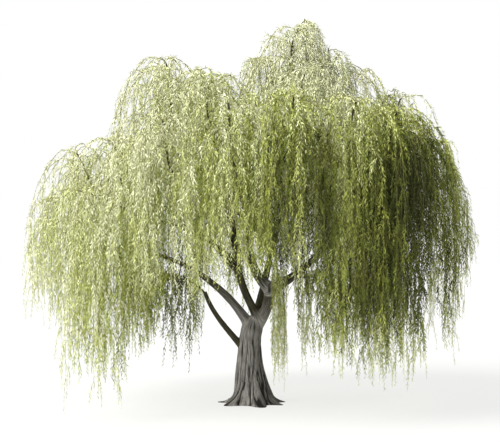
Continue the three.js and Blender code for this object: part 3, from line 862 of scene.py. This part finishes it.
def dealTints(sprays, strands, random):  # painted light and shade: brighter where the crown's outside faces the light
    form = lightForm
    middle = sprays.mean(1)
    apart = ((middle[:, None, :2] - seeds[None]) ** 2).sum(2)
    reached = (middle[:, 2:] < [mass["top"] + 0.3 for mass in masses]) & (
        middle[:, 2:] > [mass["hang"] - 0.5 for mass in masses])
    own = np.where(reached, apart, 99).argmin(1)
    ownLight, lowest = (np.array([mass[key] for mass in masses])[own] for key in ("light", "hang"))
    lowest = np.maximum(lowest, (np.abs(middle[:, 0]) - crown["skirtTurn"]) * crown["skirtRise"])
    low = np.clip((lowest + form["lowest"] - middle[:, 2]) / form["lowest"], 0, 1)
    outward = (middle - form["middle"]) / form["halfSize"]
    reach = np.linalg.norm(outward, axis=1)
    # painted rim light at the crown's far right
    paintedRimLight = form["paintedRimLight"] * np.clip((outward[:, 0] - form["paintedRimFrom"]) / form["paintedRimOver"], 0, 1)
    score = form["facing"] * (outward @ unit(np.array(form["sun"]))) + form["reach"] * reach + paintedRimLight + ownLight
    # painted light on the low hanging ends, more to the right and the back
    anywhere, right, back = form["paintedLowLight"]
    score += low * (anywhere + right * np.clip(outward[:, 0], 0, 1) + back * np.clip(outward[:, 1], 0, 1))
    score -= shade["depth"] * np.exp(-((middle[:, 0] - shade["x"]) / shade["halfWidth"]) ** 2
                                     - ((middle[:, 2] - shade["z"]) / shade["halfHeight"]) ** 2)
    score += form["strands"] * strands + form["chance"] * random.uniform(0, 1, len(sprays))
    return score


# Materials

# ridge and young are the bark's own colours; the furrow colour is painted shade laid into the bark's furrows
barkColours = {"ridge": (0.34, 0.325, 0.3), "paintedBarkShade": (0.024, 0.021, 0.018), "young": (0.085, 0.078, 0.046)}

twigColours = {"young": (0.30, 0.30, 0.09), "old": (0.12, 0.10, 0.04)}

leafTints = {  # from the brightest spray to the darkest, dealt out as painted light and shade with some random play: colour and share of the sprays
    "palest": ((0.84, 0.86, 0.58), 0.18),
    "pale": ((0.69, 0.73, 0.34), 0.19),
    "fresh": ((0.51, 0.56, 0.165), 0.18),
    "mid": ((0.32, 0.365, 0.062), 0.17),
    "olive": ((0.13, 0.155, 0.018), 0.16),
    "deep": ((0.044, 0.054, 0.006), 0.12),
}


def newMaterial(name):
    material = bpy.data.materials.new(name)
    material.use_nodes = True
    nodes, links = material.node_tree.nodes, material.node_tree.links
    return material, nodes, links, nodes["Principled BSDF"]


def barkMaterial(name, base, young):
    material, nodes, links, shader = newMaterial(name)
    lines = nodes.new("ShaderNodeAttribute")
    lines.attribute_name = "grain"
    stretch = nodes.new("ShaderNodeMapping")
    stretch.inputs["Scale"].default_value = (22, 22, 1.8)
    links.new(lines.outputs["Vector"], stretch.inputs["Vector"])
    grain = nodes.new("ShaderNodeTexNoise")
    grain.inputs["Scale"].default_value = 2.2
    grain.inputs["Detail"].default_value = 6
    links.new(stretch.outputs["Vector"], grain.inputs["Vector"])
    tone = nodes.new("ShaderNodeValToRGB")
    tone.color_ramp.elements[0].position, tone.color_ramp.elements[1].position = 0.3, 0.72
    tone.color_ramp.elements[0].color = (*[c * 0.4 for c in base], 1)
    tone.color_ramp.elements[1].color = (*[min(1, c * 1.4) for c in base], 1)
    links.new(grain.outputs["Fac"], tone.inputs["Fac"])
    # painted shade: the grooves and the trunk's right side are mixed towards near black
    depth = nodes.new("ShaderNodeAttribute")
    depth.attribute_name = "paintedBarkShade"
    dark = nodes.new("ShaderNodeMix")
    dark.data_type = "RGBA"
    dark.inputs["B"].default_value = (*barkColours["paintedBarkShade"], 1)
    links.new(depth.outputs["Fac"], dark.inputs["Factor"])
    links.new(tone.outputs["Color"], dark.inputs["A"])
    upward = nodes.new("ShaderNodeAttribute")
    upward.attribute_name = "young"
    upper = nodes.new("ShaderNodeMix")
    upper.data_type = "RGBA"
    upper.blend_type = "MULTIPLY"
    upper.inputs["B"].default_value = (*[y / b for y, b in zip(young, base)], 1)
    links.new(upward.outputs["Fac"], upper.inputs["Factor"])
    links.new(dark.outputs["Result"], upper.inputs["A"])
    links.new(upper.outputs["Result"], shader.inputs["Base Color"])
    shader.inputs["Roughness"].default_value = 0.92
    shader.inputs["Specular IOR Level"].default_value = 0.2
    bump = nodes.new("ShaderNodeBump")
    bump.inputs["Strength"].default_value = 0.5
    bump.inputs["Distance"].default_value = 0.01
    links.new(grain.outputs["Fac"], bump.inputs["Height"])
    links.new(bump.outputs["Normal"], shader.inputs["Normal"])
    return material


def leafMaterial(name, colour):
    material, nodes, links, shader = newMaterial(name)
    shader.inputs["Base Color"].default_value = (*colour, 1)
    shader.inputs["Specular IOR Level"].default_value = 0.2
    spot = nodes.new("ShaderNodeTexCoord")
    sheen = nodes.new("ShaderNodeTexNoise")
    sheen.inputs["Scale"].default_value = 14
    links.new(spot.outputs["Object"], sheen.inputs["Vector"])
    level = nodes.new("ShaderNodeMapRange")
    level.inputs["To Min"].default_value, level.inputs["To Max"].default_value = 0.42, 0.68
    links.new(sheen.outputs["Fac"], level.inputs["Value"])
    links.new(level.outputs["Result"], shader.inputs["Roughness"])
    return material


def twigMaterial(name, young, old):
    material, nodes, links, shader = newMaterial(name)
    spot = nodes.new("ShaderNodeTexCoord")
    patch = nodes.new("ShaderNodeTexNoise")
    patch.inputs["Scale"].default_value = 3
    links.new(spot.outputs["Object"], patch.inputs["Vector"])
    tone = nodes.new("ShaderNodeValToRGB")
    tone.color_ramp.elements[0].position, tone.color_ramp.elements[1].position = 0.35, 0.65
    tone.color_ramp.elements[0].color = (*old, 1)
    tone.color_ramp.elements[1].color = (*young, 1)
    links.new(patch.outputs["Fac"], tone.inputs["Fac"])
    links.new(tone.outputs["Color"], shader.inputs["Base Color"])
    shader.inputs["Roughness"].default_value = 0.6
    return material


def settle(piece, material, nodes):
    piece.data.materials.clear()
    piece.data.materials.append(material)
    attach(piece, "root")
    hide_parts(*nodes)


trunkBark = makeTrunkBark()
print("trunk and boughs:", len(trunkBark.data.polygons), "faces")
boughBark = makeBoughBark()
print("mass boughs:", len(boughBark.data.polygons), "faces")
whips, sprays, owners, random = growFoliage()
whipMesh = twigTubes(whips, whipForm["thick"], whipForm["thin"])
whipTwigs = joinedMesh("whips", *whipMesh)
half = len(sprays) // 2
sprayTwigs = [joinedMesh("sprayTwigs" + str(n + 1), *twigTubes(part, sprayForm["thick"], sprayForm["thin"]))
              for n, part in enumerate((sprays[:half], sprays[half:]))]
print("twig triangles:", [2 * len(p.data.loops) // 4 for p in (whipTwigs, *sprayTwigs)])

foliageNodes = [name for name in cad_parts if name.startswith("foliage_")]
settle(trunkBark, barkMaterial("furrowed bark", barkColours["ridge"], barkColours["young"]),
       ["trunk", *carriers])
settle(boughBark, barkMaterial("bough bark", barkColours["ridge"], barkColours["young"]),
       [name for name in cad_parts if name.startswith("bough_to_")])
twigBark = twigMaterial("young bark", twigColours["young"], twigColours["old"])
for piece in (whipTwigs, *sprayTwigs):
    settle(piece, twigBark, foliageNodes)

feet = whips[:, -1] * [lightForm["clumps"], lightForm["clumps"], 0]
clumps = np.array([noise.noise(Vector(foot)) for foot in feet])
strandPlay, tintPlay = lightForm["strandPlay"], leafForm["tintPlay"]
strands = 0.5 + lightForm["clumpDepth"] * clumps + random.uniform(-strandPlay, strandPlay, len(whips))
scores = dealTints(sprays, strands[owners], random)
ranks = np.argsort(np.argsort(-scores)) / len(scores)
onSprays = leavesOn(sprays, leafForm["sprayBegins"], leafForm["gap"], random)
sprayRank = ranks[onSprays[0]] + random.uniform(-tintPlay, tintPlay, len(onSprays[0]))
onWhips = leavesOn(whips, leafForm["whipBegins"], leafForm["gap"] * leafForm["whipGap"], random)
whipScores = dealTints(onWhips[2][:, None], strands[onWhips[0]], random)
whipRank = np.searchsorted(np.sort(-scores), -whipScores) / len(scores)
corners = np.concatenate([leafMesh(onSprays, sprayRank, random), leafMesh(onWhips, whipRank, random)])
leafRank = np.concatenate([sprayRank, whipRank])
order = np.argsort(leafRank)
print("leaves:", len(corners))
start = 0
for tint, (colour, part) in leafTints.items():
    end = min(len(order), start + int(round(part * len(order))))
    if tint == "deep":  # the last one takes what is left
        end = len(order)
    piece = leafPiece("leaves_" + tint, corners[order[start:end]])
    settle(piece, leafMaterial("leaf " + tint, colour), foliageNodes)
    print(tint, (end - start) * 2)
    start = end

# Studio

studio = {
    "pixel": 0.0314,  # metres at the trunk
    "size": (500, 442),
    "middle": (250 - 252, 404 - 221),  # of the frame, from the trunk's foot
    "distance": 60,
    "elevation": 3,
    "floorRadius": 60,
    "fill": 0.62,
    "key": 5.5,
    "keyFrom": (-0.78, -0.36, 0.78),
    "softness": 40,
}


def makeStudio():
    scene = bpy.context.scene
    scene.view_settings.view_transform = "Standard"
    world = bpy.data.worlds.new("studio")
    scene.world = world
    world.use_nodes = True
    nodes, links = world.node_tree.nodes, world.node_tree.links
    sky, backdrop = nodes["Background"], nodes.new("ShaderNodeBackground")
    sky.inputs["Color"].default_value = (1, 1, 1, 1)
    sky.inputs["Strength"].default_value = studio["fill"]
    backdrop.inputs["Strength"].default_value = 1
    backdrop.inputs["Color"].default_value = (1, 1, 1, 1)
    seen, mix = nodes.new("ShaderNodeLightPath"), nodes.new("ShaderNodeMixShader")
    links.new(seen.outputs["Is Camera Ray"], mix.inputs["Fac"])
    links.new(sky.outputs["Background"], mix.inputs[1])
    links.new(backdrop.outputs["Background"], mix.inputs[2])
    links.new(mix.outputs["Shader"], nodes["World Output"].inputs["Surface"])
    work = bmesh.new()
    bmesh.ops.create_circle(work, cap_ends=True, segments=96, radius=studio["floorRadius"])
    floor = meshFrom(work, "floor")
    floor.location.z = -0.002
    material, nodes, links, shader = newMaterial("pale floor")
    shader.inputs["Base Color"].default_value = (0.15, 0.15, 0.148, 1)
    shader.inputs["Roughness"].default_value = 0.9
    shader.inputs["Emission Color"].default_value = (1, 1, 0.98, 1)
    shader.inputs["Emission Strength"].default_value = 0.74
    floor.data.materials.append(material)
    floor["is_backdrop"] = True
    key = bpy.data.objects.new("key", bpy.data.lights.new("key", "SUN"))
    key.data.energy, key.data.angle = studio["key"], math.radians(studio["softness"])
    key.rotation_euler = Vector(studio["keyFrom"]).to_track_quat("Z", "Y").to_euler()
    bpy.context.collection.objects.link(key)
    camera = bpy.data.objects.new("camera", bpy.data.cameras.new("camera"))
    bpy.context.collection.objects.link(camera)
    right, up = (value * studio["pixel"] for value in studio["middle"])
    tilt = math.radians(studio["elevation"])
    back = Vector((0, -math.cos(tilt), math.sin(tilt)))
    camera.location = Vector((right, 0, up)) + back * studio["distance"]
    camera.rotation_euler = (-back).to_track_quat("-Z", "Y").to_euler()
    camera.data.sensor_width = 36
    camera.data.lens = 36 * studio["distance"] / (studio["pixel"] * studio["size"][0])
    camera.data.clip_end = 500
    scene.camera = camera


makeStudio()
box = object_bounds()
rounded = lambda corners: [tuple(round(value, 3) for value in corner) for corner in corners]
print("cad", rounded(cadBox), "visual", rounded(box))
